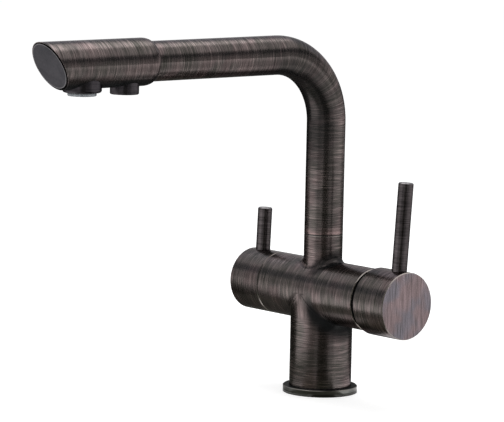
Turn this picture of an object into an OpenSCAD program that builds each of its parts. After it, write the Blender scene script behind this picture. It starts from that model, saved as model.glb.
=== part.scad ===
// Three-way kitchen mixer tap: a single-lever mixer on the right, a filtered
// water valve on the left, and a swivel spout whose head has two outlets.
// The origin is the centre of the underside, +Z is up, the spout points to -Y
// and the mixer handle to +X.

/* [Base] */
// Diameter of the flange that stands on the worktop
flange_d = 54; // [50:1:64]
// Height of the flange
flange_h = 5; // [4:0.5:8]
// Diameter of the passage for the hoses
passage_d = 36; // [33:0.5:37]
// Height above the worktop of the web that the hoses screw into
web_z = 22; // [18:1:26]

/* [Body] */
// Diameter of the column and of the cross tube
body_d = 45; // [44:0.5:50]
// Height of the axis of the cross tube
cross_z = 73.9; // [70:0.1:90]
// Right end of the cross tube, from the axis of the column
right_end = 54.7; // [54:0.1:70]
// Left end of the cross tube, from the axis of the column
left_end = 46; // [45:0.1:56]
// Top of the stub above the axis of the cross tube
stub_rise = 41.3; // [38:0.1:55]
// Radius of the fillet where the stub leaves the cross tube
stub_fillet = 6; // [3:0.5:7]
// Radius of the fillet where the column meets the cross tube
column_fillet = 2; // [1:0.5:4]
// Width of the chamfer on outer edges
edge = 0.5; // [0.2:0.1:0.8]

/* [Connections under the tap] */
// Bore of the hose connections, an M10 thread with a pitch of 1 mm
inlet_d = 9; // [8:0.1:9.5]
// Depth of the hose connections
inlet_l = 12; // [8:1:14]
// Distance of the hot and cold connections from each other
inlet_spacing = 16; // [14:0.5:18]
// Bore of the two holes for the fixing studs, an M8 thread
stud_d = 6.8; // [5:0.1:7]
// Distance of the fixing studs from each other
stud_spacing = 25; // [23:0.5:26]
// Diameter of the waterways in the body
waterway_d = 7; // [5:0.5:7.5]

/* [Spout] */
// Diameter of the spout tube, and of the stub below it
tube_d = 28; // [26:0.1:28.4]
// Wall of the spout tube
tube_wall = 1.3; // [1:0.1:1.8]
// Straight height of the riser above the seam
riser_l = 80.8; // [60:0.1:160]
// Radius of the bend, on the centre line
bend_r = 50; // [35:1:70]
// Straight length of the arm between the bend and the head
arm_l = 116.5; // [80:0.5:160]
// Thickness of the glide ring in the seam
glide_t = 0.6; // [0.4:0.1:1.2]
// Bore that the spout turns in
socket_d = 22; // [20:0.1:22.4]
// Depth of that bore
socket_l = 22; // [20:0.5:24]
// Diameter of the hose for filtered water inside the spout
hose_d = 6.35; // [5:0.05:7]
// Wall of that hose
hose_wall = 1.1; // [0.8:0.1:1.4]

/* [Head] */
// Diameter of the head
head_d = 33.2; // [32:0.1:36]
// Length of the head along its axis, to the slanted face
head_l = 83.5; // [80:0.5:110]
// Slant of the front face, from upright
face_slant = 28.1; // [20:0.1:36]
// Length of the taper at the back of the head
shoulder_l = 6; // [4:0.5:9]
// Distance from the back of the head to the filtered water outlet
rear_outlet_at = 19.7; // [19:0.1:24]
// Distance from the aerator to the middle of the slanted face
aerator_back = 27.2; // [26:0.1:30]
// Diameter of the aerator housing
aerator_d = 26.8; // [25.6:0.1:28]
// Drop of the aerator housing below the axis of the head
aerator_drop = 18.8; // [17.4:0.1:21]
// Diameter of the filtered water outlet
filtered_d = 20; // [18:0.1:22]
// Drop of the filtered water outlet below the axis of the head
filtered_drop = 21.5; // [19:0.1:24]

/* [Mixer handle] */
// Diameter of the mixer cap
cap_d = 48.2; // [47.4:0.1:52]
// Wall of the mixer cap
cap_wall = 1.5; // [1.2:0.1:1.8]
// Gap between the cross tube and the mixer cap
cap_gap = 3.9; // [2:0.1:4.2]
// Length of the mixer cap
cap_l = 30.6; // [28:0.1:36]
// Diameter of the mixer lever
mixer_lever_d = 10.9; // [8:0.1:12]
// Distance of the mixer lever from the back of the cap
mixer_lever_at = 20.1; // [18.4:0.1:21.8]
// Top of the mixer lever above the axis of the cross tube
mixer_lever_top = 86.7; // [60:0.1:110]
// Backward lean of the mixer lever at rest
mixer_lean = 4; // [0:0.5:8]

/* [Cartridge] */
// Diameter of the ceramic cartridge
cartridge_d = 35; // [34:0.1:35.4]
// Distance of the lever's pivot behind the end of the cross tube
pivot_depth = 7.7; // [7:0.1:8]
// Distance from the pivot to the ball that pushes the disc
ball_arm = 8; // [7.5:0.1:8.5]
// Diameter of that ball
ball_d = 7; // [6:0.1:7.2]
// Width of the square stem
stem_w = 7.6; // [6:0.1:8]
// Diameter of the pivot pin
pin_d = 3; // [2:0.1:3.5]
// Diameter of the fixed ceramic disc
fixed_disc_d = 27; // [25:0.5:28]
// Diameter of the moving ceramic disc
moving_disc_d = 20; // [18:0.5:21]
// Thickness of the fixed ceramic disc
fixed_disc_t = 4; // [3:0.1:5]
// Thickness of the moving ceramic disc
moving_disc_t = 3.3; // [2.5:0.1:4]

/* [Filter handle] */
// Length of the knob of the filter valve
knob_l = 30.3; // [26:0.1:36]
// Wall of the knob
knob_wall = 2; // [1.5:0.1:3]
// Diameter of the filter lever
filter_lever_d = 10.6; // [8:0.1:12]
// Distance of the filter lever from the back of the knob
filter_lever_at = 20.8; // [20.2:0.1:22]
// Top of the filter lever above the axis of the cross tube
filter_lever_top = 53.4; // [40:0.1:90]
// Backward lean of the filter lever at rest
filter_lean = 2.5; // [0:0.5:8]
// Outer diameter of the valve's thread, a half-inch pipe thread
valve_thread_d = 20.4; // [18:0.1:21]
// Depth of the valve's seat behind the left end of the cross tube
valve_depth = 24; // [23:0.5:26]
// Diameter of the valve's spindle
spindle_d = 7.8; // [7:0.1:8.5]

/* [Clearances] */
// Radial play of a running fit
fit = 0.07; // [0.03:0.01:0.09]
// Space between pieces that pass each other
gap = 0.4; // [0.3:0.05:0.6]

/* [Hidden] */
$fn = 96;

bronze = [0.23, 0.19, 0.18];
dark_bronze = [0.16, 0.15, 0.15];
brass = [0.72, 0.58, 0.32];
steel = [0.66, 0.67, 0.68];
ceramic = [0.92, 0.91, 0.88];
plastic = [0.86, 0.87, 0.88];
clear_grey = [0.74, 0.76, 0.78];
rubber = [0.10, 0.10, 0.11];

body_r = body_d / 2;
tube_r = tube_d / 2;
bore_r = tube_r - tube_wall;
head_r = head_d / 2;
cap_r = cap_d / 2;
stub_z = cross_z + stub_rise;
seam_z = stub_z + glide_t;
bend_z = seam_z + riser_l;
spout_z = bend_z + bend_r;
head_y = bend_r + arm_l;
front_outlet_at = head_l - aerator_back;

pivot_x = right_end - pivot_depth;
ball_x = pivot_x - ball_arm;
driver_floor = 2;
driver_x = ball_x - ball_d / 2 - driver_floor;
driver_flange_t = 3.2;
boss_top_x = ball_x + 1.5;
disc_face_x = driver_x - moving_disc_t;
fixed_disc_x = disc_face_x - fixed_disc_t - 0.05;
base_t = 4.7;
base_x = fixed_disc_x - base_t;
seat_x = base_x - 0.3;
carrier_x = driver_x + driver_flange_t + gap;
carrier_top_x = pivot_x + 5.7;
carrier_r = 11.4;
shoulder_x = carrier_x + 2 + gap;
neck_x = shoulder_x + 1.8;
neck_r = 13.4;
nut_x = neck_x;
nut_l = 6;
nut_r = cartridge_d / 2 + 1.6;
dome_r = 20.8;
dome_wall = 1.2;
dome_hole_r = neck_r + 0.5;
cap_x = right_end + cap_gap;
cap_end = cap_x + cap_l;
cap_plate = 3;
mixer_lever_x = cap_x + mixer_lever_at;
cap_boss_x = pivot_x + dome_r + 1.2;
stem_end = cap_end - cap_plate - 2;
lever_seat = 11;
lever_tail_d = 6;
lever_tail_l = 6.2;
screw_d = 5;
screw_l = 7;

valve_seat_x = left_end - valve_depth;
knob_x = left_end + gap;
knob_end = knob_x + knob_l;
knob_plate = 3;
filter_lever_x = knob_x + filter_lever_at;
valve_bore_r = 7.2;
valve_neck_r = 7.5;
valve_neck_x = left_end + 6;
valve_neck_end = left_end + 13.4;
spindle_r = spindle_d / 2;
spindle_end = knob_end - knob_plate - 2;
spindle_collar_r = valve_bore_r - fit;

// A turned piece along Z, from 0 to l, with a chamfer c0 at the start and c1 at the end
module turned(l, r, c0 = 0, c1 = 0) {
    rotate_extrude()
        polygon([[0, 0], [r - c0, 0], [r, c0], [r, l - c1], [r - c1, l], [0, l]]);
}

// A ring along Z, from 0 to l
module ring(l, outer, inner) {
    difference() {
        cylinder(h = l, r = outer);
        translate([0, 0, -1])
            cylinder(h = l + 2, r = inner);
    }
}

// Several O-rings share this form: a ring of round section around Z
module o_ring(r, section_r) {
    rotate_extrude()
        translate([r, 0])
            circle(r = section_r, $fn = 32);
}

// Places a piece that is drawn along Z on the cross tube's axis, from x towards +X
module right_at(x, lean = 0) {
    translate([0, 0, cross_z])
        rotate([-lean, 0, 0])
            translate([x, 0, 0])
                rotate([0, 90, 0])
                    children();
}

// The same from -x towards -X
module left_at(x, lean = 0) {
    translate([0, 0, cross_z])
        rotate([-lean, 0, 0])
            translate([-x, 0, 0])
                rotate([0, -90, 0])
                    children();
}

// The same upright at x, for levers and their screws
module upright_at(x, lean = 0) {
    translate([0, 0, cross_z])
        rotate([-lean, 0, 0])
            translate([x, 0, 0])
                children();
}

// Places a piece that is drawn along Z on the head's axis, from s towards -Y
module head_at(s) {
    translate([0, -head_y - s, spout_z])
        rotate([90, 0, 0])
            children();
}

// Places a piece that is drawn along Z under the head, at s, growing downwards
module outlet_at(s) {
    translate([0, -head_y - s, spout_z])
        mirror([0, 0, 1])
            children();
}

// Everything beyond a plane that is parallel to the slanted face, at s on the axis
module beyond_face(s) {
    translate([0, -head_y - s, spout_z])
        rotate([face_slant, 0, 0])
            translate([-40, -80, -60])
                cube([80, 80, 120]);
}

// A bent bar or bore along the spout, from z0 up the riser to s along the arm
module spout_path(r, z0, arm) {
    translate([0, 0, z0])
        cylinder(h = bend_z - z0, r = r);
    translate([0, -bend_r, bend_z])
        rotate([90, 0, 90])
            rotate_extrude(angle = 90)
                translate([bend_r, 0])
                    circle(r = r);
    translate([0, -bend_r, spout_z])
        rotate([90, 0, 0])
            cylinder(h = arm, r = r);
}

// Rolling-ball fillet between an upright tube and a level one of radius level_r.
// Each section is the arc of a ball of radius f that rolls along both tubes and
// bites a little into them, so the surfaces cross cleanly.
function fillet_arc(a, upright_r, level_r, f, bite, n) =
    let (near = upright_r + f - bite,
         far = level_r + f - bite,
         c = [near * cos(a), near * sin(a), sqrt(pow(far, 2) - pow(near * sin(a), 2))],
         u = [-cos(a), -sin(a), 0],
         v = [0, -c[1], -c[2]] / far,
         w = acos(u * v))
    [for (i = [0:n]) c + f * (sin((1 - i / n) * w) * u + sin(i / n * w) * v) / sin(w)];

function fillet_section(a, upright_r, level_r, f, bite, n, sunk) =
    let (arc = fillet_arc(a, upright_r, level_r, f, bite, n),
         foot = (level_r - sunk) / level_r,
         foot_z = arc[n][2] * foot,
         in_r = upright_r - sunk)
    concat(arc, [[arc[n][0], arc[n][1] * foot, foot_z],
                 [in_r * cos(a), in_r * sin(a), foot_z],
                 [in_r * cos(a), in_r * sin(a), arc[0][2]]]);

module saddle_fillet(upright_r, level_r, f, bite, from, to, steps, n, sunk = 2) {
    full = to - from >= 360;
    m = n + 4;
    rings = full ? steps : steps + 1;
    points = [for (k = [0:rings - 1])
        each fillet_section(from + (to - from) * k / steps, upright_r, level_r, f, bite, n, sunk)];
    sides = [for (k = [0:steps - 1], i = [0:m - 1])
        let (k2 = (k + 1) % rings, i2 = (i + 1) % m)
        each [[k * m + i, k * m + i2, k2 * m + i2], [k * m + i, k2 * m + i2, k2 * m + i]]];
    ends = full ? [] : [[for (i = [m - 1:-1:0]) i], [for (i = [0:m - 1]) steps * m + i]];
    polyhedron(points, concat(sides, ends));
}

// Positions of the connections in the web
supply_x = 8;
filtered_x = -11.5;
stud_x = -3.5;
hot_at = [supply_x, inlet_spacing / 2];
cold_at = [supply_x, -inlet_spacing / 2];
filtered_at = [filtered_x, 0];
stud_at = [[stud_x, stud_spacing / 2], [stud_x, -stud_spacing / 2]];
supply_drop = 6;
mixed_rise = 9;
mixed_at = 7.6;
mixed_d = 6;
filter_rise = 8.6;
filter_way_d = 5;
filter_way_start = 6;
hose_seat_z = stub_z - socket_l - 10;
flange_register = 4;
flange_register_wall = 2.2;
register_r = passage_d / 2 + flange_register_wall;
gasket_w = 4;
gasket_r0 = (passage_d + flange_d) / 4 - gasket_w / 2;
gasket_r1 = gasket_r0 + gasket_w;
gasket_t = 2;

module base_flange() color(dark_bronze) {
    difference() {
        union() {
            turned(flange_h, flange_d / 2, 0, edge);
            cylinder(h = flange_h + flange_register, r = register_r);
        }
        translate([0, 0, -1])
            cylinder(h = flange_h + flange_register + 2, r = passage_d / 2);
        translate([0, 0, -1])
            ring(gasket_t + 1, gasket_r1, gasket_r0);
    }
}

module base_gasket() color(rubber)
    ring(gasket_t, gasket_r1 - 0.05, gasket_r0 + 0.05);

// A hose connection in the web and the drilled waterway above it, up to z
module inlet_bore(at, z) {
    translate([at[0], at[1], web_z - 1])
        cylinder(h = inlet_l + 1, d = inlet_d);
    translate([at[0], at[1], web_z])
        cylinder(h = z - web_z, d = waterway_d);
}

// A level waterway is drilled a little thinner than the upright one that it meets
module supply_ways() {
    for (at = [hot_at, cold_at]) {
        inlet_bore(at, cross_z - supply_drop + waterway_d / 2);
        translate([at[0], at[1], cross_z - supply_drop])
            rotate([0, 90, 0])
                cylinder(h = seat_x + 1 - at[0], d = waterway_d - 1);
    }
}

module mixed_way() {
    translate([mixed_at, 0, cross_z + mixed_rise])
        rotate([0, 90, 0])
            cylinder(h = seat_x + 1 - mixed_at, d = mixed_d - 0.6);
    translate([mixed_at, 0, cross_z + mixed_rise - mixed_d / 2])
        cylinder(h = stub_z - socket_l + 1 - cross_z - mixed_rise + mixed_d / 2, d = mixed_d);
}

module filtered_ways() {
    inlet_bore(filtered_at, cross_z + waterway_d / 2);
    left_at(-filtered_at[0])
        cylinder(h = valve_seat_x + filtered_at[0] + 1, d = waterway_d - 1);
    translate([-valve_seat_x - filter_way_start, 0, cross_z + filter_rise])
        rotate([0, 90, 0])
            cylinder(h = valve_seat_x + filter_way_start, d = filter_way_d);
    translate([0, 0, cross_z + filter_rise - filter_way_d / 2 - 0.3])
        cylinder(h = hose_seat_z + 1 - cross_z - filter_rise + filter_way_d / 2 + 0.3, d = filter_way_d + 0.6);
}

module body() color(bronze) difference() {
    union() {
        translate([0, 0, flange_h])
            cylinder(h = cross_z - flange_h, r = body_r);
        left_at(0)
            turned(left_end, body_r, 0, edge);
        right_at(0)
            turned(right_end, body_r, 0, edge);
        translate([0, 0, cross_z])
            cylinder(h = stub_rise, r = tube_r);
        translate([0, 0, cross_z])
            saddle_fillet(tube_r, body_r, stub_fillet, 0.06, 0, 360, 64, 6);
        translate([0, 0, cross_z])
            mirror([0, 0, 1])
                for (side = [0, 180])
                    saddle_fillet(body_r, body_r, column_fillet, 0.04, side - 70, side + 70, 24, 4);
    }
    // Room for the hoses and for the flange's register
    translate([0, 0, flange_h - 1])
        cylinder(h = web_z - flange_h + 1, r = passage_d / 2);
    translate([0, 0, flange_h - 1])
        cylinder(h = flange_register + 1.2, r = register_r + 0.05);
    for (at = stud_at)
        translate([at[0], at[1], web_z - 1])
            cylinder(h = inlet_l + 3, d = stud_d);
    supply_ways();
    mixed_way();
    filtered_ways();
    // Chamber of the cartridge, with the thread for its nut
    right_at(seat_x)
        cylinder(h = right_end - seat_x + 1, r = cartridge_d / 2 + 0.2);
    right_at(nut_x)
        cylinder(h = right_end - nut_x + 1, r = nut_r + 0.05);
    right_at(seat_x - 2)
        for (side = [1, -1])
            translate([0, side * locating_pin_y, 0])
                cylinder(h = 3, d = locating_pin_d + 0.2);
    // Threaded bore of the filter valve and the chamber round its windows
    left_at(valve_seat_x)
        cylinder(h = valve_depth + 1, r = valve_thread_d / 2 + 0.05);
    // Socket of the spout, its stop screw and the seat of the inner hose
    translate([0, 0, stub_z - socket_l])
        cylinder(h = socket_l + 1, d = socket_d);
    translate([0, 0, hose_seat_z])
        cylinder(h = socket_l, d = hose_d + 2 * fit);
    translate([0, 0, grub_z])
        rotate([-90, 0, 0])
            cylinder(h = tube_r + 1, d = grub_d + 0.1);
}
locating_pin_y = 12.5;
locating_pin_d = 2.5;
grub_d = 4;
grub_z = stub_z - 9;
groove_depth = 1.6;
tail_r = socket_d / 2 - fit;
tail_l = socket_l - 1;
plug_l = 14;
o_ring_r = 0.95;
o_ring_z = [stub_z - 4, stub_z - 15];

module spout_glide_ring() color(brass)
    translate([0, 0, stub_z])
        ring(glide_t, tube_r - 0.4, tail_r + 0.15);

module spout_tube() color(bronze) difference() {
    spout_path(tube_r, seam_z, arm_l + tube_lap);
    spout_path(bore_r, seam_z, arm_l + tube_lap);
    translate([0, 0, seam_z - 1])
        cylinder(h = 2, r = bore_r);
    head_at(tube_lap - 1)
        cylinder(h = 2, r = bore_r);
}
// The tube ends just before the filtered water outlet
tube_lap = rear_outlet_at - filtered_d / 2 - gap;

module spout_tail() color(brass) difference() {
    union() {
        translate([0, 0, stub_z - tail_l])
            turned(tail_l + glide_t, tail_r, 0.6, 0);
        translate([0, 0, seam_z])
            cylinder(h = plug_l, r = bore_r - 0.02);
    }
    translate([0, 0, stub_z - tail_l - 1])
        cylinder(h = tail_l + plug_l + 4, r = tail_bore_r);
    for (z = o_ring_z)
        translate([0, 0, z - o_ring_r - 0.1])
            ring(2 * o_ring_r + 0.2, tail_r + 1, tail_r - 2 * o_ring_r - 0.05);
    translate([0, 0, grub_z - grub_d / 2 - gap])
        ring(grub_d + 2 * gap, tail_r + 1, tail_r - groove_depth);
}
tail_bore_r = 7.4;

module spout_o_rings() color(rubber)
    for (z = o_ring_z)
        translate([0, 0, z])
            o_ring(tail_r - o_ring_r - 0.02, o_ring_r);

module spout_grub_screw() color(steel)
    translate([0, tail_r - groove_depth + gap, grub_z])
        rotate([-90, 0, 0])
            difference() {
                turned(tube_r - tail_r + groove_depth - gap - 0.2, grub_d / 2, edge, 0);
                translate([0, 0, 1.5])
                    cylinder(h = 10, d = 2, $fn = 6);
            }

// The head is one casting: a waterway for mixed water, with an upright post in it
// that leads filtered water from the inner hose down to its own outlet.
// The back of the head is rounded down to the tube.
lip = 0.4;
shoulder = [for (a = [0:15:90])
    [tube_r + lip + (head_r - tube_r - lip) * sin(a), shoulder_l * (1 - cos(a))]];
plate_recess = 2.4;
plate_rise = 0.8;
plate_r = head_r - 1.3;
plate_groove = 0.8;
post_r = 6.5;
post_bore_d = 5;
chamber_r = 12;
chamber_end = front_outlet_at + 8;
outlet_seat = 5;
hose_socket_l = 7;

module spout_head() color(bronze) difference() {
    union() {
        difference() {
            head_at(0)
                rotate_extrude()
                    polygon(concat([[0, 0]], shoulder, [[head_r, head_l + 25], [0, head_l + 25]]));
            beyond_face(head_l);
            head_at(tube_lap)
                cylinder(h = chamber_end - tube_lap, r = chamber_r);
        }
        intersection() {
            outlet_at(rear_outlet_at)
                translate([0, 0, -chamber_r - 0.8])
                    cylinder(h = 2 * chamber_r + 1.6, r = post_r);
            head_at(0)
                cylinder(h = head_l, r = chamber_r + 1);
        }
        head_at(rear_outlet_at - post_r - hose_socket_l + 2)
            cylinder(h = hose_socket_l + 2, r = hose_d / 2 + 1.6);
    }
    head_at(-1)
        cylinder(h = tube_lap + 1.05, r = tube_r + 0.02);
    // The hose plugs into the post, and the post's bore leads down
    head_at(rear_outlet_at - post_r - hose_socket_l)
        cylinder(h = hose_socket_l + 2.6, d = hose_d + 0.06);
    head_at(rear_outlet_at - post_r - 1)
        cylinder(h = post_r + 1, d = post_bore_d - 0.8);
    outlet_at(rear_outlet_at)
        translate([0, 0, -post_bore_d / 2])
            cylinder(h = head_r + 1 + post_bore_d / 2, d = post_bore_d);
    outlet_at(rear_outlet_at)
        translate([0, 0, outlet_seat])
            cylinder(h = head_r, d = filtered_d + 0.1);
    outlet_at(front_outlet_at)
        cylinder(h = head_r + 1, r = aerator_bore_r);
    outlet_at(front_outlet_at)
        translate([0, 0, outlet_seat])
            cylinder(h = head_r, d = aerator_d + 0.1);
    // Recess for the end plate, with a narrow groove left round it
    intersection() {
        beyond_face(head_l - plate_recess);
        head_at(0)
            cylinder(h = head_l + 25, r = plate_r + plate_groove);
    }
}
aerator_bore_r = 10.2;

module head_end_plate() color(dark_bronze) intersection() {
    difference() {
        beyond_face(head_l - plate_recess);
        beyond_face(head_l + plate_rise);
    }
    head_at(0)
        cylinder(h = head_l + 25, r = plate_r);
}

module filtered_water_hose() color(plastic) difference() {
    hose_path(hose_d / 2, hose_seat_z + 0.5);
    hose_path(hose_d / 2 - hose_wall, hose_seat_z + 0.5);
    translate([0, 0, hose_seat_z])
        cylinder(h = 2, r = hose_d / 2 - hose_wall);
}
module hose_path(r, z0) {
    spout_path(r, z0, arm_l + rear_outlet_at - post_r + 1.4);
}

module aerator_housing() color(dark_bronze) outlet_at(front_outlet_at) difference() {
    translate([0, 0, outlet_seat])
        rotate_extrude()
            polygon([[0, 0], [aerator_d / 2, 0], [aerator_d / 2, aerator_h - 1.5],
                     [aerator_d / 2 - 0.45, aerator_h - 0.45], [aerator_d / 2 - 1.5, aerator_h],
                     [0, aerator_h]]);
    cylinder(h = 60, r = aerator_bore_r);
    translate([0, 0, outlet_seat + aerator_h - 1])
        cylinder(h = 3, r = aerator_bore_r + 0.8);
}
aerator_h = aerator_drop - outlet_seat;
insert_r = aerator_bore_r - 0.3;
insert_top = 9;
insert_drop = aerator_drop + 2.3;

module aerator_seal() color(rubber) outlet_at(front_outlet_at)
    translate([0, 0, insert_top - 1.8])
        ring(1.8, insert_r, insert_r - 3);

// Round holes in rings, as in the plate of a jet regulator
module jet_holes(rings, pitch, hole_r) {
    for (k = [0:rings], i = [0:max(0, 6 * k - 1)])
        rotate([0, 0, k == 0 ? 0 : 60 * i / k])
            translate([k * pitch, 0, -1])
                cylinder(h = 40, r = hole_r, $fn = 16);
}

module aerator_insert() color(clear_grey) outlet_at(front_outlet_at)
    translate([0, 0, insert_top])
        difference() {
            turned(insert_drop - insert_top, insert_r, 0, 0.5);
            jet_holes(4, 2.05, 0.72);
            translate([0, 0, insert_drop - insert_top - 1])
                cylinder(h = 3, r = insert_r - 1.2);
        }

module filtered_outlet() color(dark_bronze) outlet_at(rear_outlet_at) difference() {
    translate([0, 0, outlet_seat])
        turned(filtered_drop - outlet_seat, filtered_d / 2, 0, edge);
    cylinder(h = outlet_seat + 3, d = post_bore_d);
    translate([0, 0, outlet_seat + 2])
        cylinder(h = 40, r = filtered_insert_r + 0.05);
}
filtered_insert_r = 7;

module filtered_outlet_insert() color(plastic) outlet_at(rear_outlet_at)
    translate([0, 0, filtered_drop - 5.5])
        difference() {
            cylinder(h = 5, r = filtered_insert_r);
            jet_holes(3, 1.9, 0.65);
        }

// Three ports in the cartridge: hot, cold and mixed water
module ports(d, l) {
    for (side = [1, -1])
        translate([supply_drop, side * inlet_spacing / 2, -1])
            cylinder(h = l + 2, d = d);
    translate([-mixed_rise + 1, 0, -1])
        cylinder(h = l + 2, d = d);
}

module cartridge_base() color(plastic) right_at(base_x) difference() {
    union() {
        cylinder(h = base_t, d = cartridge_d);
        for (side = [1, -1])
            translate([0, side * locating_pin_y, -2])
                turned(3, locating_pin_d / 2, 0.4, 0);
    }
    ports(port_d, base_t);
    for (at = port_places)
        translate([at[0], at[1], -1])
            cylinder(h = 1 + seal_groove, d = port_d + 2 * seal_w + 0.1);
}
port_d = 5;
seal_groove = 1.6;
seal_w = 1.2;
port_places = [
    [supply_drop, inlet_spacing / 2],
    [supply_drop, -inlet_spacing / 2],
    [1 - mixed_rise, 0]
];

module cartridge_seals() color(rubber) right_at(seat_x)
    for (at = port_places)
        translate([at[0], at[1], 0])
            ring(seal_groove + base_x - seat_x, port_d / 2 + seal_w, port_d / 2);

module fixed_disc() color(ceramic) right_at(fixed_disc_x) difference() {
    cylinder(h = fixed_disc_t, d = fixed_disc_d);
    ports(port_d - 0.6, fixed_disc_t);
}

// The hollow in the moving disc joins the ports that it covers
module moving_disc() color(ceramic) right_at(disc_face_x, mixer_lean) difference() {
    translate([moving_disc_rest, 0, 0])
        cylinder(h = moving_disc_t, d = moving_disc_d);
    translate([moving_disc_rest - 1, 0, -1])
        cylinder(h = 2.6, r = moving_disc_d / 4);
}
moving_disc_rest = 1.4;

module disc_driver() color(dark_bronze) right_at(driver_x, mixer_lean) difference() {
    union() {
        translate([moving_disc_rest, 0, 0])
            cylinder(h = driver_flange_t, d = moving_disc_d - 2);
        cylinder(h = boss_top_x - driver_x, d = driver_boss_d);
    }
    translate([0, 0, driver_floor - 0.15])
        cylinder(h = 10, r = ball_d / 2 + 0.15);
}
driver_boss_d = 10.6;

module cartridge_housing() color(plastic) right_at(fixed_disc_x) difference() {
    union() {
        cylinder(h = neck_x - fixed_disc_x, d = cartridge_d);
        cylinder(h = carrier_top_x + 0.4 - fixed_disc_x, r = neck_r);
    }
    translate([0, 0, -1])
        cylinder(h = shoulder_x - fixed_disc_x + 1, r = housing_bore_r);
    cylinder(h = 60, r = carrier_r + fit);
}
housing_bore_r = 15.2;
carrier_flange_r = housing_bore_r - gap;

// The carrier turns in the housing's neck and holds the stem on its pin
module cartridge_carrier() color(clear_grey) right_at(carrier_x, mixer_lean) difference() {
    union() {
        cylinder(h = 2, r = carrier_flange_r);
        cylinder(h = carrier_top_x - carrier_x, r = carrier_r);
    }
    // Pocket in which the driver's boss slides
    translate([-boss_travel, -driver_boss_d / 2 - gap, -1])
        cube([2 * boss_travel, driver_boss_d + 2 * gap, boss_top_x - carrier_x + 1 + gap]);
    // Slot in which the stem tilts
    translate([-stem_slot, -stem_w / 2 - 0.25, -1])
        cube([2 * stem_slot, stem_w + 0.5, carrier_top_x - carrier_x + 2]);
    translate([0, -20, pivot_x - carrier_x])
        rotate([-90, 0, 0])
            cylinder(h = 40, d = pin_d + 0.04);
}
boss_travel = driver_boss_d / 2 + 3.4;
stem_slot = 8.6;

module pivot_pin() color(steel) right_at(pivot_x, mixer_lean)
    translate([0, -pin_half, 0])
        rotate([-90, 0, 0])
            turned(2 * pin_half, pin_d / 2, 0.3, 0.3);
pin_half = 10.8;

module mixer_stem() color(brass) right_at(pivot_x, mixer_lean) difference() {
    union() {
        translate([0, 0, -ball_arm])
            sphere(d = ball_d);
        translate([0, 0, -ball_arm])
            cylinder(h = ball_arm, d = ball_d - 1.6);
        translate([-stem_w / 2, -stem_w / 2, -3.6])
            cube([stem_w, stem_w, stem_end - pivot_x + 3.6]);
    }
    translate([0, -20, 0])
        rotate([-90, 0, 0])
            cylinder(h = 40, d = pin_d + 2 * fit);
}

module cartridge_nut() color(brass) right_at(nut_x) difference() {
    turned(nut_l, nut_r, 0.4, 0.4);
    translate([0, 0, -1])
        cylinder(h = nut_l + 2, r = neck_r + gap);
    for (a = [0:60:300])
        rotate([0, 0, a])
            translate([nut_r - 3.6, -1.5, nut_l - 2.5])
                cube([2.4, 3, 4]);
}

// The dome closes the chamber. Its ball form is centred on the pivot, so the cap
// passes over it at every tilt.
module mixer_dome() color(dark_bronze) right_at(pivot_x) difference() {
    union() {
        intersection() {
            sphere(r = dome_r);
            translate([0, 0, right_end - pivot_x])
                cylinder(h = 40, r = dome_r + 1);
        }
        translate([0, 0, nut_x + nut_l - pivot_x])
            cylinder(h = right_end - nut_x - nut_l, r = nut_r - 0.05);
    }
    intersection() {
        sphere(r = dome_r - dome_wall);
        translate([0, 0, right_end - pivot_x - 0.4])
            cylinder(h = 40, r = dome_r + 1);
    }
    translate([0, 0, nut_x + nut_l - pivot_x - 1])
        cylinder(h = right_end - nut_x - nut_l + 0.8, r = nut_r - dome_wall);
    cylinder(h = 40, r = dome_hole_r);
}

module mixer_cap() color(bronze) difference() {
    union() {
        difference() {
            right_at(cap_x, mixer_lean)
                turned(cap_l, cap_r, cap_back_edge, edge);
            right_at(cap_x - 1, mixer_lean)
                cylinder(h = cap_l - cap_plate + 1, r = cap_r - cap_wall);
        }
        right_at(cap_boss_x, mixer_lean)
            cylinder(h = cap_end - 1 - cap_boss_x, r = 8.5);
        upright_at(mixer_lever_x, mixer_lean)
            translate([0, 0, -lever_seat])
                cylinder(h = 2 * lever_seat, r = cap_post_r);
    }
    right_at(cap_boss_x - 1, mixer_lean)
        translate([-stem_w / 2 - 0.03, -stem_w / 2 - 0.03, 0])
            cube([stem_w + 0.06, stem_w + 0.06, stem_end - cap_boss_x + 1.5]);
    upright_at(mixer_lever_x, mixer_lean) {
        translate([0, 0, lever_seat])
            cylinder(h = 40, d = mixer_lever_d + 0.1);
        cylinder(h = 20, d = lever_tail_d + 0.1);
        mirror([0, 0, 1])
            cylinder(h = 40, d = screw_d + 0.1);
    }
}
cap_back_edge = 0.8;
cap_post_r = 6.6;

// A lever: a round bar with a chamfered top and a threaded tail
module lever(d, top) {
    translate([0, 0, lever_seat])
        turned(top - lever_seat, d / 2, 0, 0.8);
    translate([0, 0, lever_seat - lever_tail_l])
        turned(lever_tail_l + 1, lever_tail_d / 2, 0.6, 0);
}

// A socket set screw that points up from below
module set_screw(reach) {
    translate([0, 0, -reach - screw_l])
        difference() {
            turned(screw_l, screw_d / 2, 0.3, 0.8);
            translate([0, 0, -1])
                cylinder(h = 4, d = 2.9, $fn = 6);
        }
}

module mixer_lever() color(dark_bronze) upright_at(mixer_lever_x, mixer_lean)
    lever(mixer_lever_d, mixer_lever_top);

module mixer_set_screw() color(steel) upright_at(mixer_lever_x, mixer_lean)
    set_screw(stem_w / 2);

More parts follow.
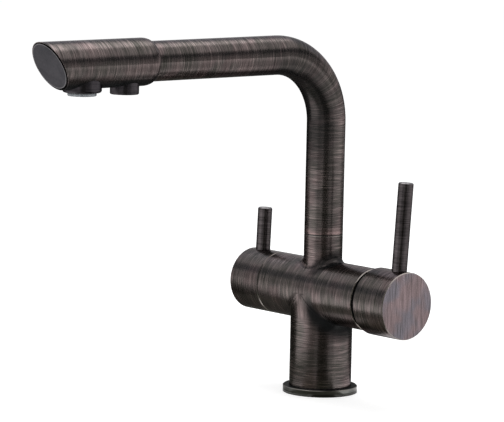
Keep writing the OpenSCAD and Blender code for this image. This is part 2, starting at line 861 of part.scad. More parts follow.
module valve_body() color(brass) difference() {
    union() {
        left_at(valve_seat_x + valve_seal_t)
            turned(valve_depth - valve_seal_t, valve_thread_d / 2, 0.6, 0);
        left_at(left_end)
            cylinder(h = valve_neck_x - left_end, d = valve_hex_d, $fn = 6);
        left_at(valve_neck_x)
            turned(valve_neck_end - valve_neck_x, valve_neck_r, 0, 0.5);
    }
    left_at(valve_seat_x + valve_seal_t)
        ring(windows_l + 3, valve_thread_d, valve_thread_d / 2 - 1.4);
    left_at(valve_seat_x)
        cylinder(h = valve_chamber_l, r = valve_bore_r);
    left_at(valve_seat_x)
        cylinder(h = 60, r = spindle_r + fit);
    // Windows through which the filtered water leaves
    left_at(valve_seat_x + valve_seal_t + fixed_t + 0.1)
        for (a = [0, 180])
            rotate([0, 0, a])
                translate([2, -3.5, 0])
                    cube([20, 7, windows_l]);
}
valve_seal_t = 2;
valve_hex_d = 25.4;
windows_l = 5;
fixed_t = 3;
turning_t = 3;
valve_chamber_l = 16;

module valve_seat_seal() color(rubber) left_at(valve_seat_x)
    ring(valve_seal_t, valve_bore_r - 0.1, 4);

// Each disc has two quarter openings that meet when the spindle turns
module quarter_openings(l) {
    for (a = [0, 180])
        rotate([0, 0, a])
            translate([0, 0, -1])
                intersection() {
                    ring(l + 2, valve_bore_r - 1.6, 1.2);
                    cube([20, 20, 40]);
                }
}

module valve_fixed_disc() color(ceramic) left_at(valve_seat_x + valve_seal_t) difference() {
    cylinder(h = fixed_t, r = valve_bore_r - 0.1);
    quarter_openings(fixed_t);
}

module valve_turning_disc() color(ceramic) left_at(turning_x, filter_lean)
    difference() {
        cylinder(h = turning_t, r = spindle_collar_r);
        rotate([0, 0, 90])
            quarter_openings(turning_t);
    }

module valve_spindle() color(brass) difference() {
    union() {
        left_at(spindle_foot, filter_lean)
            turned(valve_seat_x + valve_chamber_l - gap - spindle_foot, spindle_collar_r, 0, 0.3);
        left_at(spindle_foot, filter_lean)
            turned(spindle_end - spindle_foot, spindle_r, 0, 0.5);
    }
    // Cross slot over the windows, which lets the water out
    left_at(spindle_foot - 1, filter_lean)
        difference() {
            cylinder(h = windows_l, r = spindle_collar_r + 1);
            translate([-1.8, -20, -1])
                cube([3.6, 40, 20]);
        }
    for (x = spindle_ring_x)
        left_at(x, filter_lean)
            ring(spindle_ring_w, spindle_r + 1, spindle_r - 1);
    left_at(clip_x - 0.05, filter_lean)
        ring(clip_t + 0.1, spindle_r + 1, spindle_r - 0.6);
}
turning_x = valve_seat_x + valve_seal_t + fixed_t + 0.05;
spindle_foot = turning_x + turning_t;
spindle_ring_w = 1.6;
spindle_ring_x = [left_end - 3, left_end + 3];
clip_x = valve_neck_end + 0.1;
clip_t = 0.8;
clip_slot = 3.2;

module valve_spindle_o_rings() color(rubber)
    for (x = spindle_ring_x)
        left_at(x + spindle_ring_w / 2, filter_lean)
            o_ring(spindle_r - 0.5, 0.48);

module valve_spindle_clip() color(steel) left_at(clip_x, filter_lean) difference() {
    ring(clip_t, spindle_r + 1.6, spindle_r - 0.58);
    translate([0, -clip_slot / 2, -1])
        cube([spindle_d, clip_slot, clip_t + 2]);
}

module filter_knob() color(bronze) difference() {
    union() {
        difference() {
            left_at(knob_x, filter_lean)
                turned(knob_l, body_r, edge, edge);
            left_at(knob_x - 1, filter_lean)
                cylinder(h = knob_l - knob_plate + 1, r = body_r - knob_wall);
        }
        left_at(knob_boss_x, filter_lean)
            cylinder(h = knob_end - 1 - knob_boss_x, r = knob_boss_r);
        upright_at(-filter_lever_x, filter_lean)
            translate([0, 0, -lever_seat])
                cylinder(h = 2 * lever_seat, r = knob_post_r);
    }
    left_at(knob_boss_x - 1, filter_lean)
        cylinder(h = spindle_end - knob_boss_x + 1.5, r = spindle_r + 0.03);
    upright_at(-filter_lever_x, filter_lean) {
        translate([0, 0, lever_seat])
            cylinder(h = 40, d = filter_lever_d + 0.1);
        cylinder(h = 20, d = lever_tail_d + 0.1);
        mirror([0, 0, 1])
            cylinder(h = 40, d = screw_d + 0.1);
    }
}
knob_boss_x = clip_x + clip_t + 0.5;
knob_boss_r = 7.5;
knob_post_r = 6.2;

module filter_lever() color(dark_bronze) upright_at(-filter_lever_x, filter_lean)
    lever(filter_lever_d, filter_lever_top);

module filter_set_screw() color(steel) upright_at(-filter_lever_x, filter_lean)
    set_screw(spindle_r);

base_flange();
base_gasket();
body();
spout_glide_ring();
spout_tube();
spout_tail();
spout_o_rings();
spout_grub_screw();
spout_head();
head_end_plate();
filtered_water_hose();
aerator_housing();
aerator_seal();
aerator_insert();
filtered_outlet();
filtered_outlet_insert();
cartridge_base();
cartridge_seals();
fixed_disc();
moving_disc();
disc_driver();
cartridge_housing();
cartridge_carrier();
pivot_pin();
mixer_stem();
cartridge_nut();
mixer_dome();
mixer_cap();
mixer_lever();
mixer_set_screw();
valve_body();
valve_seat_seal();
valve_fixed_disc();
valve_turning_disc();
valve_spindle();
valve_spindle_o_rings();
valve_spindle_clip();
filter_knob();
filter_lever();
filter_set_screw();
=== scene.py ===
import math

import bpy
from mathutils import Matrix, Vector


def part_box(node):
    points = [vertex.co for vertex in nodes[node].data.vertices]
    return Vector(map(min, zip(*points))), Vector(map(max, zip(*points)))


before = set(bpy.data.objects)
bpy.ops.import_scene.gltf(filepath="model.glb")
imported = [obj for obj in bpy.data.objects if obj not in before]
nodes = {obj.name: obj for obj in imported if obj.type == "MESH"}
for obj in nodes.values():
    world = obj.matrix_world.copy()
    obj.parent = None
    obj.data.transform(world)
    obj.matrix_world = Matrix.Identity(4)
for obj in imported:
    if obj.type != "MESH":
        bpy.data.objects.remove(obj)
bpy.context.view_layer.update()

bpy.ops.object.select_all(action="DESELECT")


# The view of the tap: from its right front, a little above the cross tube, with a long lens.
# The place, turn and roll of the camera were fitted to the outlines of the tube, column and head.
view_azimuth = math.radians(49.075)
view_elevation = math.radians(7.32)
view_roll = math.radians(1.202)
view_distance = 2.4
view_target_height = 0.130811
view_target_shift = -0.052015
sensor_width = 36
lens_in_widths = 3323.749 / 504

towards_camera = Vector((
    math.sin(view_azimuth) * math.cos(view_elevation),
    -math.cos(view_azimuth) * math.cos(view_elevation),
    math.sin(view_elevation)))
level_right = Vector((math.cos(view_azimuth), math.sin(view_azimuth), 0))
level_up = towards_camera.cross(level_right)
rolled_right = level_right * math.cos(view_roll) + level_up * math.sin(view_roll)
rolled_up = level_up * math.cos(view_roll) - level_right * math.sin(view_roll)

camera_data = bpy.data.cameras.new("camera")
camera_data.sensor_width = sensor_width
camera_data.lens = lens_in_widths * sensor_width
camera_data.clip_end = 30
camera = bpy.data.objects.new("camera", camera_data)
bpy.context.scene.collection.objects.link(camera)
view_target = Vector((0, 0, view_target_height)) + level_right * view_target_shift
camera.matrix_world = Matrix.Translation(view_target + towards_camera * view_distance) @ Matrix(
    (rolled_right, rolled_up, towards_camera)).transposed().to_4x4()
bpy.context.scene.camera = camera
bpy.context.scene.view_settings.view_transform = "Standard"


# The studio: a pale floor in a white surround, with a soft light overhead and one on the right.
# Cards that only reflections see give the metal its light and dark bands, as a product table has.
class Wire:
    """One output of a shader node. Python maths on it adds Math nodes."""

    def __init__(self, shader, socket):
        self.shader = shader
        self.socket = socket

    def maths(self, operation, *values):
        return self.shader.add("ShaderNodeMath", {"operation": operation}, dict(enumerate(values)))

    def __add__(self, other):
        return self.maths("ADD", self, other)

    def __sub__(self, other):
        return self.maths("SUBTRACT", self, other)

    def __rsub__(self, other):
        return self.maths("SUBTRACT", other, self)

    def __mul__(self, other):
        return self.maths("MULTIPLY", self, other)

    def __truediv__(self, other):
        return self.maths("DIVIDE", self, other)

    def __neg__(self):
        return self * -1

    def __abs__(self):
        return self.maths("ABSOLUTE", self)

    def root(self):
        return self.maths("SQRT", self)

    def least(self, other):
        return self.maths("MINIMUM", self, other)

    def most(self, other):
        return self.maths("MAXIMUM", self, other)

    def rise(self, low, high):
        """0 below low and 1 above high, with a soft step between them"""
        return self.shader.add("ShaderNodeMapRange", {"interpolation_type": "SMOOTHSTEP"},
                               {"Value": self, "From Min": low, "From Max": high})

    __radd__ = __add__
    __rmul__ = __mul__


class Shader:
    """The node tree of a material or of the world, built up node by node."""

    def __init__(self, owner):
        owner.use_nodes = True
        self.owner = owner
        self.tree = owner.node_tree
        self.tree.nodes.clear()

    def add(self, kind, settings={}, sockets={}, output=0):
        """Adds a node and sets it up, then gives its sockets their values or links"""
        node = self.tree.nodes.new(kind)
        for name, value in settings.items():
            if name == "stops":
                while len(node.color_ramp.elements) < len(value):
                    node.color_ramp.elements.new(1)
                for element, (place, colour) in zip(node.color_ramp.elements, value):
                    element.position = place
                    element.color = (*colour, 1)
            else:
                setattr(node, name, value)
        for name, value in sockets.items():
            if isinstance(value, Wire):
                self.tree.links.new(value.socket, node.inputs[name])
            elif node.inputs[name].type == "RGBA":
                node.inputs[name].default_value = (*value, 1)
            else:
                node.inputs[name].default_value = value
        if isinstance(output, tuple):
            return [Wire(self, node.outputs[name]) for name in output]
        return Wire(self, node.outputs[output]) if node.outputs else None

    def show(self, surface):
        """Makes a material end in this surface"""
        self.add("ShaderNodeOutputMaterial", {}, {"Surface": surface})


def seen_rays(shader):
    """1 for rays of the camera, of reflections and through glass, 0 for light on matt surfaces"""
    camera_ray, glossy_ray, clear_ray = shader.add(
        "ShaderNodeLightPath", output=("Is Camera Ray", "Is Glossy Ray", "Is Transmission Ray"))
    return camera_ray.most(glossy_ray).most(clear_ray)


surround_light = 0.5
world = bpy.data.worlds.new("white_surround")
bpy.context.scene.world = world
shader = Shader(world)
shader.add("ShaderNodeOutputWorld", {}, {"Surface": shader.add("ShaderNodeBackground", {}, {
    "Color": (1, 1, 1), "Strength": seen_rays(shader) * (1 - surround_light) + surround_light})})

floor_colour = (0.8, 0.8, 0.8)
floor_lift = 0.62
floor_size = 8
bpy.ops.mesh.primitive_plane_add(size=floor_size)
floor = bpy.context.object
floor.name = "floor"
shader = Shader(bpy.data.materials.new("pale_floor"))
shader.show(shader.add("ShaderNodeAddShader", {}, {
    0: shader.add("ShaderNodeBsdfDiffuse", {}, {"Color": floor_colour}),
    1: shader.add("ShaderNodeEmission", {}, {"Strength": seen_rays(shader) * floor_lift})}))
floor.data.materials.append(shader.owner)

tap_middle = Vector((0, -0.06, 0.13))
softbox_distance = 1.5


def bearing(azimuth, elevation):
    """The direction that lies so many degrees to the right of the camera, and above the horizon"""
    turn = view_azimuth + math.radians(azimuth)
    rise = math.radians(elevation)
    level = math.cos(rise)
    return Vector((math.sin(turn) * level, -math.cos(turn) * level, math.sin(rise)))


def softbox(name, azimuth, elevation, width, height, brightness):
    lamp = bpy.data.lights.new(name, "AREA")
    lamp.shape = "RECTANGLE"
    lamp.size = width
    lamp.size_y = height
    lamp.energy = brightness * math.pi * width * height
    box = bpy.data.objects.new(name, lamp)
    bpy.context.scene.collection.objects.link(box)
    box.location = tap_middle + bearing(azimuth, elevation) * softbox_distance
    box.rotation_euler = bearing(azimuth, elevation).to_track_quat("Z", "Y").to_euler()
    box.visible_camera = False


softbox("overhead_softbox", azimuth=180, elevation=68, width=1.5, height=1.1, brightness=2.2)
softbox("right_softbox", azimuth=88, elevation=-2, width=1.0, height=0.3, brightness=0.6)


def only_reflected(name, brightness, tint=(1, 1, 1)):
    """Makes the new plane or triangle a card that shines evenly, and that only reflections see"""
    shader = Shader(bpy.data.materials.new(name))
    shader.show(shader.add("ShaderNodeEmission", {}, {"Color": tint, "Strength": brightness}))
    card = bpy.context.object
    card.name = name
    card.data.materials.append(shader.owner)
    card.visible_camera = False
    card.visible_diffuse = False
    card.visible_transmission = False
    card.visible_shadow = False


card_distance = 1.3
white, cool, olive, leaf = (1, 1, 1), (0.82, 0.9, 1), (1, 1, 0.8), (0.97, 1, 0.88)
for name, brightness, tint, azimuth, elevation, width, height in [
        ("front_card", 0.07, olive, 4, 10, 0.8, 2.2),
        ("front_left_card", 0.45, white, -35, 10, 0.8, 2.2),
        ("front_right_card", 0.3, white, 38, 10, 0.7, 2.2),
        ("left_card", 0.6, white, -98, 8, 0.9, 0.3),
        ("right_card", 0.35, white, 83, 9, 0.9, 0.4),
        ("back_left_card", 0.03, olive, -146, -6, 1.1, 0.6),
        ("back_right_card", 0.03, olive, 160, -6, 0.8, 0.6),
        ("upper_left_card", 0.27, cool, -95, 26, 1.6, 0.4),
        ("upper_right_card", 0.1, cool, 88, 27, 1.4, 0.4),
        ("upper_back_card", 1.0, cool, 180, 38, 2.8, 0.55)]:
    bpy.ops.mesh.primitive_plane_add(
        size=1, location=tap_middle + bearing(azimuth, elevation) * card_distance,
        rotation=(-bearing(azimuth, elevation)).to_track_quat("Z", "Y").to_euler())
    bpy.context.object.scale = (width, height, 1)
    only_reflected(name, brightness, tint)

# Three-sided cards lie on the floor with one corner under the column, the later ones on top.
# A circle of three points has its side half as far from its middle as its corners
card_step = 0.0002
for height, (name, brightness, tint, azimuth, half_angle, length) in enumerate([
        ("front_floor_card", 0.65, white, 0, 46, 0.9),
        ("front_dark_floor_card", 0.05, olive, 5, 20, 1.2),
        ("back_right_floor_card", 0.15, white, 150, 36, 1.28),
        ("right_floor_card", 0.7, white, 86, 30, 0.9),
        ("right_near_floor_card", 1.35, white, 86, 30, 0.24),
        ("left_floor_card", 1.8, white, -76, 22, 0.9),
        ("back_left_floor_card", 0.05, olive, -137, 36, 1.28),
        ("middle_floor_card", 0.22, leaf, -100, 80, 0.15),
        ("right_foot_floor_card", 0.75, white, 86, 34, 0.13),
        ("flange_front_floor_card", 0.2, olive, 0, 52, 0.06),
        ("flange_right_floor_card", 2.6, white, 78, 40, 0.058),
        ("flange_left_floor_card", 0.9, white, -76, 22, 0.056)]):
    to_corner = length * 2 / 3
    middle = bearing(azimuth, 0) * to_corner
    bpy.ops.mesh.primitive_circle_add(
        vertices=3, radius=1, fill_type="NGON",
        rotation=(0, 0, view_azimuth + math.radians(azimuth)),
        location=(middle.x, middle.y, card_step * (height + 1)))
    widening = math.tan(math.radians(half_angle)) * math.sqrt(3)
    bpy.context.object.scale = (to_corner * widening, to_corner, 1)
    only_reflected(name, brightness, tint)


# The body: one brass casting with the column, the cross tube and the stub for the spout.
# Its finish is oil-rubbed bronze: a dark brown skin, brushed round each axis so that lines of
# copper and mauve show through, and rubbed bright along the edges. Shade is painted darker in the
# corners.
def start(name):
    """A new material's shader, then x, y and z of a point on the surface in metres"""
    shader = Shader(bpy.data.materials.new(name))
    place = shader.add("ShaderNodeTexCoord", output="Object")
    return shader, *shader.add("ShaderNodeSeparateXYZ", {}, {0: place}, output=(0, 1, 2))


def noise(shader, x, y, z, detail=2.0):
    place = shader.add("ShaderNodeCombineXYZ", {}, {0: x, 1: y, 2: z})
    return shader.add("ShaderNodeTexNoise", {}, {"Vector": place, "Scale": 1.0, "Detail": detail})


def blend(shader, share, first, second):
    """The first colour where share is 0, the second where it is 1"""
    sockets = {0: share, 6: first, 7: second}
    return shader.add("ShaderNodeMix", {"data_type": "RGBA"}, sockets, output=2)


def bumped(shader, height, strength, distance):
    return shader.add("ShaderNodeBump", {}, {
        "Strength": strength, "Distance": distance, "Height": height})


def either(shader, share, firsts, seconds):
    """Each of the first numbers where share is 0, and of the second ones where it is 1"""
    return [shader.add("ShaderNodeMix", {}, {0: share, 2: first, 3: second})
            for first, second in zip(firsts, seconds)]


def radius(across, beside):
    """Distance from an axis that runs at right angles to both"""
    return (across * across + beside * beside).root()


def near(value, place, width):
    """1 at place, fading to 0 a width away from it"""
    return 1 - abs(value - place).rise(width * 0.4, width)


chamfer = 0.0007


def rim(depth, r, outer_r):
    """1 on the chamfered edge of a turned piece. Depth is the distance behind its end face"""
    return (1 - depth.rise(chamfer - 0.0003, chamfer)) * (
        r.rise(outer_r - chamfer, outer_r - chamfer + 0.0002))


def brush_lines(shader, along, across, beside):
    """Fine lines, longer lines and clouds of a skin that was brushed at right angles to along.
    The factors say how many grains of noise go into a metre"""
    return (noise(shader, along * 2400, across * 110, beside * 110),
            noise(shader, along * 1700, across * 60, beside * 60),
            noise(shader, along * 55, across * 55, beside * 55))


# The colours of painted shade, as shining metal and as a matt skin
metal_shade, matt_shade = (0.013, 0.014, 0.014), (0.02, 0.021, 0.022)


def matted(shader, surface, share):
    """Covers a share of the metal with a matt, almost black skin, which paints shade"""
    matt = shader.add("ShaderNodeBsdfDiffuse", {}, {"Color": matt_shade})
    return shader.add("ShaderNodeMixShader", {}, {0: share, 1: surface, 2: matt})


line_depth = 0.0000075


def bronze(lines, worn, shaded=0.0, pale=0.0, hollow=0.0, rubbed_colour=(0.5, 0.45, 0.42)):
    """Finishes a bronze skin from its lines, from the masks of its worn edges, painted shade and
    pale faces, and from how far a hollow is filled in metres"""
    fine, long, clouds = lines
    shader = fine.shader
    tone = fine * 0.32 + long * 0.64 + clouds * 0.04
    skin = shader.add("ShaderNodeValToRGB", {"stops": [
        (0.36, (0.03, 0.028, 0.025)), (0.455, (0.077, 0.067, 0.063)),
        (0.545, (0.137, 0.113, 0.109)), (0.67, (0.31, 0.246, 0.235))]}, {0: tone})
    tint = shader.add("ShaderNodeValToRGB", {"stops": [
        (0.38, (0.07, 0.072, 0.062)), (0.5, (0.1, 0.089, 0.086)), (0.62, (0.16, 0.113, 0.114))]},
        {0: clouds})
    coloured = blend(shader, 0.3, skin, tint)
    mauve_to_copper = blend(
        shader, clouds.rise(0.35, 0.6), (0.255, 0.233, 0.27), (0.335, 0.25, 0.26))
    faced = blend(shader, pale * (fine * 0.5 + long.rise(0.25, 0.7) * 0.7).least(1),
                  coloured, mauve_to_copper)
    rubbed = blend(shader, worn * (fine * 1.5).least(1), faced, rubbed_colour)
    bump = bumped(shader, (fine + long) * line_depth + hollow, 1.0, 1.0)
    surface = shader.add("ShaderNodeBsdfPrincipled", {}, {
        "Base Color": blend(shader, shaded, rubbed, metal_shade),
        "Metallic": 1.0, "Roughness": 0.2 + fine * 0.12, "Specular Tint": (0.52, 0.51, 0.52),
        "Normal": bump})
    if isinstance(shaded, Wire):
        surface = matted(shader, surface, shaded * 0.75)
    shader.show(surface)


def paint(shader, *names):
    """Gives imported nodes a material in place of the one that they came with"""
    for name in names:
        nodes[name].data.materials.clear()
        nodes[name].data.materials.append(shader.owner)


column_r = 0.0225
cross_height = 0.0739
stub_r = 0.014
stub_fillet = 0.006
body_low, body_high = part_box("body")

shader, x, y, z = start("body_bronze")
spread = (stub_r + stub_fillet) / stub_r
stub_foot = cross_height + ((column_r + stub_fillet) ** 2 - y * y * spread * spread).most(0).root()
on_stub = (z - stub_foot).rise(-0.003, 0.002) * (
    1 - radius(x, y).rise(stub_r + 0.002, stub_r + stub_fillet))
column_top = cross_height - 0.0185
on_column = 1 - z.rise(column_top - 0.003, column_top + 0.003)
cross_radius = radius(y, z - cross_height)
# Painted shade: a darker, matt skin under the arms (mostly on the right), on the right of the
# stub's foot, and on the camera's right of the column just above the flange
below_corner = cross_height - z - abs(x)
under_arms_shade = below_corner.rise(-0.011, 0.001) * (1 - below_corner.rise(0.003, 0.016)) * (
    x.rise(0.002, 0.011) * 0.9).most((-x).rise(0.008, 0.02) * 0.3)
stub_foot_shade = near(z, stub_foot - 0.004, 0.0075) * x.rise(0.0, 0.009) * (
    1 - radius(x, y).rise(0.019, 0.024)) * 0.6
to_right = x * level_right.x + y * level_right.y
column_foot_shade = (1 - z.rise(0.007, 0.017)) * to_right.rise(0.0, 0.012) * 0.3
# The two tubes flow into each other over a few millimetres, as if a larger ball had rolled along
blend_width = 0.007
to_corner = (blend_width - abs(below_corner).most(0.0012)).most(0)
flow_in = to_corner * to_corner * abs(x) * (0.7 / (2 * blend_width * column_r)) * (
    1 - z.rise(cross_height - 0.001, cross_height))
# The left rim shows bright where the knob's edge has rubbed it, mostly at the bottom and the top
left_wear = 0.15 + 0.85 * abs(z - cross_height + 0.004).rise(0.006, 0.016)
worn = rim(body_high.x - x, cross_radius, column_r).most(
    rim(x - body_low.x, cross_radius, column_r) * left_wear).most(
    rim(body_high.z - z, radius(x, y), stub_r) * 0.5)
middle_x = (body_high.x + body_low.x) / 2
# Painted shade: the end faces in the gaps beside the cap and the knob are dark and matt
end_face_shade = (abs(x - middle_x) - (body_high.x - middle_x)).rise(-0.0002, -0.0001) * (
    1 - cross_radius.rise(column_r - chamfer, column_r - chamfer + 0.0001))
bronze(either(shader, on_stub.most(on_column),
              brush_lines(shader, x, y, z), brush_lines(shader, z, x, y)),
       worn, end_face_shade.most(under_arms_shade).most(stub_foot_shade).most(column_foot_shade), hollow=flow_in)
paint(shader, "body")


# The base: a turned flange that stands on the worktop, smooth and darker than the body,
# over a black rubber gasket that seals it.
def dark_bronze(shader, grain, worn, dark=(0.037, 0.037, 0.036), light=(0.085, 0.082, 0.08),
                rubbed=(0.25, 0.23, 0.21), roughness=0.24, shaded=None):
    """The smoother, darker skin of turned pieces. Grain is its pattern, worn masks its edges"""
    bump = bumped(shader, grain, 0.3, 0.00002)
    surface = shader.add("ShaderNodeBsdfPrincipled", {}, {
        "Base Color": blend(shader, worn * (grain + 0.3).least(1),
                            blend(shader, grain.rise(0.3, 0.7), dark, light), rubbed),
        "Metallic": 1.0, "Roughness": roughness + grain * 0.1, "Specular Tint": (0.6, 0.59, 0.6),
        "Normal": bump})
    if shaded:
        surface = matted(shader, surface, shaded)
    shader.show(surface)


def clouded(shader, x, y, z):
    return noise(shader, x * 90, y * 90, z * 90)


flange_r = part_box("base_flange")[1].x
flange_top = 0.005
shader, x, y, z = start("flange_bronze")
grain = noise(shader, z * 1600, x * 60, y * 60) * 0.5 + clouded(shader, x, y, z) * 0.5
# Painted shade: the flat top face is partly covered with a matt, almost black skin
top_face_shade = z.rise(flange_top - 0.0003, flange_top - 0.0001)
dark_bronze(shader, grain, rim(flange_top - z, radius(x, y), flange_r),
            (0.045, 0.046, 0.043), (0.108, 0.107, 0.1), shaded=top_face_shade * 0.8)
paint(shader, "base_flange")

shader, x, y, z = start("black_rubber")
dust = noise(shader, x * 120, y * 120, z * 120)
grit = noise(shader, x * 1800, y * 1800, z * 1800, 3)
surface = shader.add("ShaderNodeBsdfPrincipled", {}, {
    "Base Color": blend(shader, dust.rise(0.45, 0.75), (0.012, 0.012, 0.013), (0.04, 0.039, 0.038)),
    "Roughness": 0.55 + dust * 0.2,
    "Normal": bumped(shader, grit, 0.2, 0.00005)})
shader.show(surface)
paint(shader, "base_gasket", "spout_o_rings", "aerator_seal", "cartridge_seals", "valve_seat_seal",
      "valve_spindle_o_rings")


# The spout: a 28 mm brass tube, bent once and brushed round its own line. A brass tail, soldered
# into its foot, turns in the stub on a glide ring and two O-rings. A screw behind holds it down.
bend_r = 0.05
bend_height = 0.1966
seam_height = 0.1158
shader, x, y, z = start("spout_tube_bronze")
turned = z.maths("ARCTAN2", z - bend_height, y + bend_r)
along = z.least(bend_height) + turned.most(0).least(math.pi / 2) * bend_r + (
    -bend_r - y).most(0)
lines = brush_lines(shader, along, x, y - z)
clouds = lines[2]
above_seam = 1 - z.rise(seam_height + 0.001, seam_height + 0.007)
worn = (above_seam * clouds.rise(0.43, 0.6) * 0.5).most(near(z, seam_height + 0.001, chamfer) * 0.5)
# The inside of the bend is made darker and matt
inside_bend = (1 - radius(y + bend_r, z - bend_height).rise(0.034, 0.056)) * 0.55
# Painted shade: a dark, matt line just above the seam
bronze(lines, worn, inside_bend.most(near(z, seam_height, 0.0006) * 0.6),
       rubbed_colour=(0.48, 0.33, 0.32))
paint(shader, "spout_tube")

shader, x, y, z = start("small_dark_bronze")
grain = noise(shader, x * 300, y * 300, z * 1500) * 0.5 + clouded(shader, x, y, z) * 0.5
dark_bronze(shader, grain, 0.0)
paint(shader, "spout_glide_ring")


def machined(name, axis, dark, light, metallic=1.0, roughness=0.2):
    """A plain turned piece with fine tool rings along its axis and a few stains"""
    shader, x, y, z = start(name)
    rings = noise(shader, {"x": x, "z": z}[axis] * 2500, 0.0, 0.0)
    stain = noise(shader, x * 150, y * 150, z * 150, 3)
    surface = shader.add("ShaderNodeBsdfPrincipled", {}, {
        "Base Color": blend(shader, stain.rise(0.3, 0.7) * 0.6 + rings * 0.4, dark, light),
        "Metallic": metallic, "Roughness": roughness + stain * 0.25,
        "Normal": bumped(shader, rings, 0.3, 0.00002)})
    shader.show(surface)
    return shader


brass_dark, brass_light = (0.42, 0.26, 0.1), (0.72, 0.5, 0.24)
paint(machined("turned_brass_upright", "z", brass_dark, brass_light), "spout_tail")
steel = machined("steel", "z", (0.34, 0.34, 0.35), (0.58, 0.58, 0.6))
paint(steel, "spout_grub_screw")


# The head: a brass casting brushed like the tube, rounded at the back, with a flat end plate of
# dark bronze pressed into its slanted front. A thin plastic hose brings the filtered water to it.
spout_height = bend_height + bend_r
head_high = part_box("spout_head")[1]
shader, x, y, z = start("spout_head_bronze")
# Painted shade: the lower part of the head is darker and matt
underside_shade = (spout_height - z).rise(0.006, 0.0148)
bronze(brush_lines(shader, y, x, z), near(y, head_high.y, chamfer) * 0.8, underside_shade * 0.9)
paint(shader, "spout_head")

plate_r = 0.0153
shader, x, y, z = start("end_plate_bronze")
plate_edge = radius(x, z - spout_height).rise(plate_r - chamfer, plate_r - chamfer + 0.0003)
grain = noise(shader, x * 700, y * 300, z * 700) * 0.4 + clouded(shader, x, y, z) * 0.6
dark_bronze(shader, grain, plate_edge,
            (0.03, 0.03, 0.033), (0.05, 0.048, 0.052), (0.13, 0.125, 0.13))
paint(shader, "head_end_plate")

shader, x, y, z = start("white_plastic")
flow = noise(shader, x * 160, y * 160, z * 160, 3)
surface = shader.add("ShaderNodeBsdfPrincipled", {}, {
    "Base Color": blend(shader, flow.rise(0.3, 0.7), (0.58, 0.59, 0.58), (0.7, 0.7, 0.69)),
    "Roughness": 0.35 + flow * 0.2,
    "Normal": bumped(shader, flow, 0.1, 0.00005)})
shader.show(surface)
paint(shader, "filtered_water_hose", "filtered_outlet_insert", "cartridge_base",
      "cartridge_housing", "cartridge_carrier", "disc_driver")


# The outlets under the head: a screwed-in aerator with a clear plastic jet insert, and a smaller
# outlet for filtered water. Both are turned, smooth and almost black.
shader, x, y, z = start("outlet_bronze")
grain = noise(shader, z * 1800, x * 50, y * 50) * 0.5 + clouded(shader, x, y, z) * 0.5
dark_bronze(shader, grain, 0.0, (0.026, 0.024, 0.027), (0.075, 0.067, 0.073))
paint(shader, "aerator_housing", "filtered_outlet")

shader, x, y, z = start("clear_grey_plastic")
lime = noise(shader, x * 400, y * 400, z * 400, 3)
surface = shader.add("ShaderNodeBsdfPrincipled", {}, {
    "Base Color": blend(shader, lime.rise(0.35, 0.7), (0.4, 0.43, 0.46), (0.58, 0.61, 0.64)),
    "Roughness": 0.2 + lime * 0.2, "Transmission Weight": 0.5, "IOR": 1.49})
shader.show(surface)
paint(shader, "aerator_insert")


# The mixer handle: a turned brass cap that tilts and turns over a black dome, and a thin lever
# screwed into it. A set screw clamps the cap to the stem. The cap's flat face is brushed upright.
cap_low, cap_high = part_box("mixer_cap")
cap_r = 0.0241
shader, x, y, z = start("mixer_cap_bronze")
on_face = (x - cap_high.x).rise(-0.0003, -0.0001)
cross_radius = radius(y, z - cross_height)
worn = rim(cap_high.x - x, cross_radius, cap_r).most(rim(x - cap_low.x, cross_radius, cap_r) * 0.6)
# Painted shade: the cap's inner face in the gap by the body is darker and matt
inside = 1 - cross_radius.rise(cap_r - 0.0012, cap_r - 0.001)
# The shift along x gives the cap a pattern of its own
bronze(either(shader, on_face, brush_lines(shader, x + 0.012, y, z), brush_lines(shader, y, z, x)),
       worn, inside * (1 - on_face), on_face)
paint(shader, "mixer_cap")


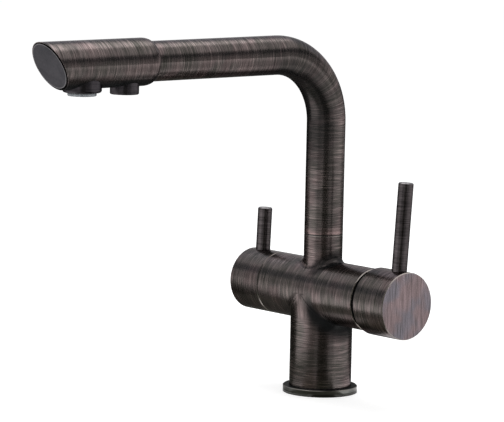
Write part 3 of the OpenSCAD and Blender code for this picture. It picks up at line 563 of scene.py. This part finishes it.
def lever_bronze(name, lean_degrees, top_above_axis):
    """Dark bronze, turned so that fine rings run up the lever, with a paler top"""
    lean = math.radians(lean_degrees)
    shader, x, y, z = start(name)
    above_axis = z - cross_height
    along = above_axis * math.cos(lean) + y * math.sin(lean)
    beside = y * math.cos(lean) - above_axis * math.sin(lean)
    rings = noise(shader, along * 1500, x * 60, beside * 60)
    grain = rings * 0.65 + clouded(shader, x, y, z) * 0.35
    dark_bronze(shader, grain, along.rise(top_above_axis - 0.0008, top_above_axis - 0.0004),
                (0.031, 0.028, 0.028), (0.124, 0.107, 0.11), (0.25, 0.24, 0.245))
    return shader


paint(lever_bronze("mixer_lever_bronze", lean_degrees=4, top_above_axis=0.0867), "mixer_lever")
paint(steel, "mixer_set_screw")

# The dome's almost black colour is partly its dark finish and partly painted shade in the gap
# between the cap and the body
shader, x, y, z = start("dome_bronze_gap_shade")
dark_bronze(shader, clouded(shader, x, y, z), 0.0, (0.006, 0.006, 0.006), (0.014, 0.013, 0.013))
paint(shader, "mixer_dome")


# The cartridge inside: a moulded plastic housing that a brass nut holds down, with a turning
# carrier, two lapped ceramic discs, and a turned brass stem on a steel pin.
brass = machined("turned_brass_level", "x", brass_dark, brass_light)
paint(brass, "mixer_stem", "cartridge_nut")
paint(steel, "pivot_pin")
ceramic = machined("lapped_ceramic", "x", (0.66, 0.65, 0.62), (0.78, 0.77, 0.74),
                   metallic=0.0, roughness=0.15)
paint(ceramic, "fixed_disc", "moving_disc")


# The filtered water handle and its valve: a turned knob like the cap but without a gap, with a
# short lever, over a quarter-turn valve with a brass body and spindle, which is screwed into the
# cross tube, two ceramic discs and a steel clip.
knob_low, knob_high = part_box("filter_knob")
shader, x, y, z = start("filter_knob_bronze")
cross_radius = radius(y, z - cross_height)
# The edge at the seam is rubbed most at the bottom
seam_wear = 0.2 + (cross_height - z).rise(0.004, 0.012) * 0.8
worn = (rim(x - knob_low.x, cross_radius, column_r) * 0.5).most(
    rim(knob_high.x - x, cross_radius, column_r) * seam_wear)
bronze(brush_lines(shader, x, y, z), worn)
paint(shader, "filter_knob")
paint(lever_bronze("filter_lever_bronze", lean_degrees=2.5, top_above_axis=0.0534), "filter_lever")
paint(brass, "valve_body", "valve_spindle")
paint(ceramic, "valve_fixed_disc", "valve_turning_disc")
paint(steel, "valve_spindle_clip", "filter_set_screw")
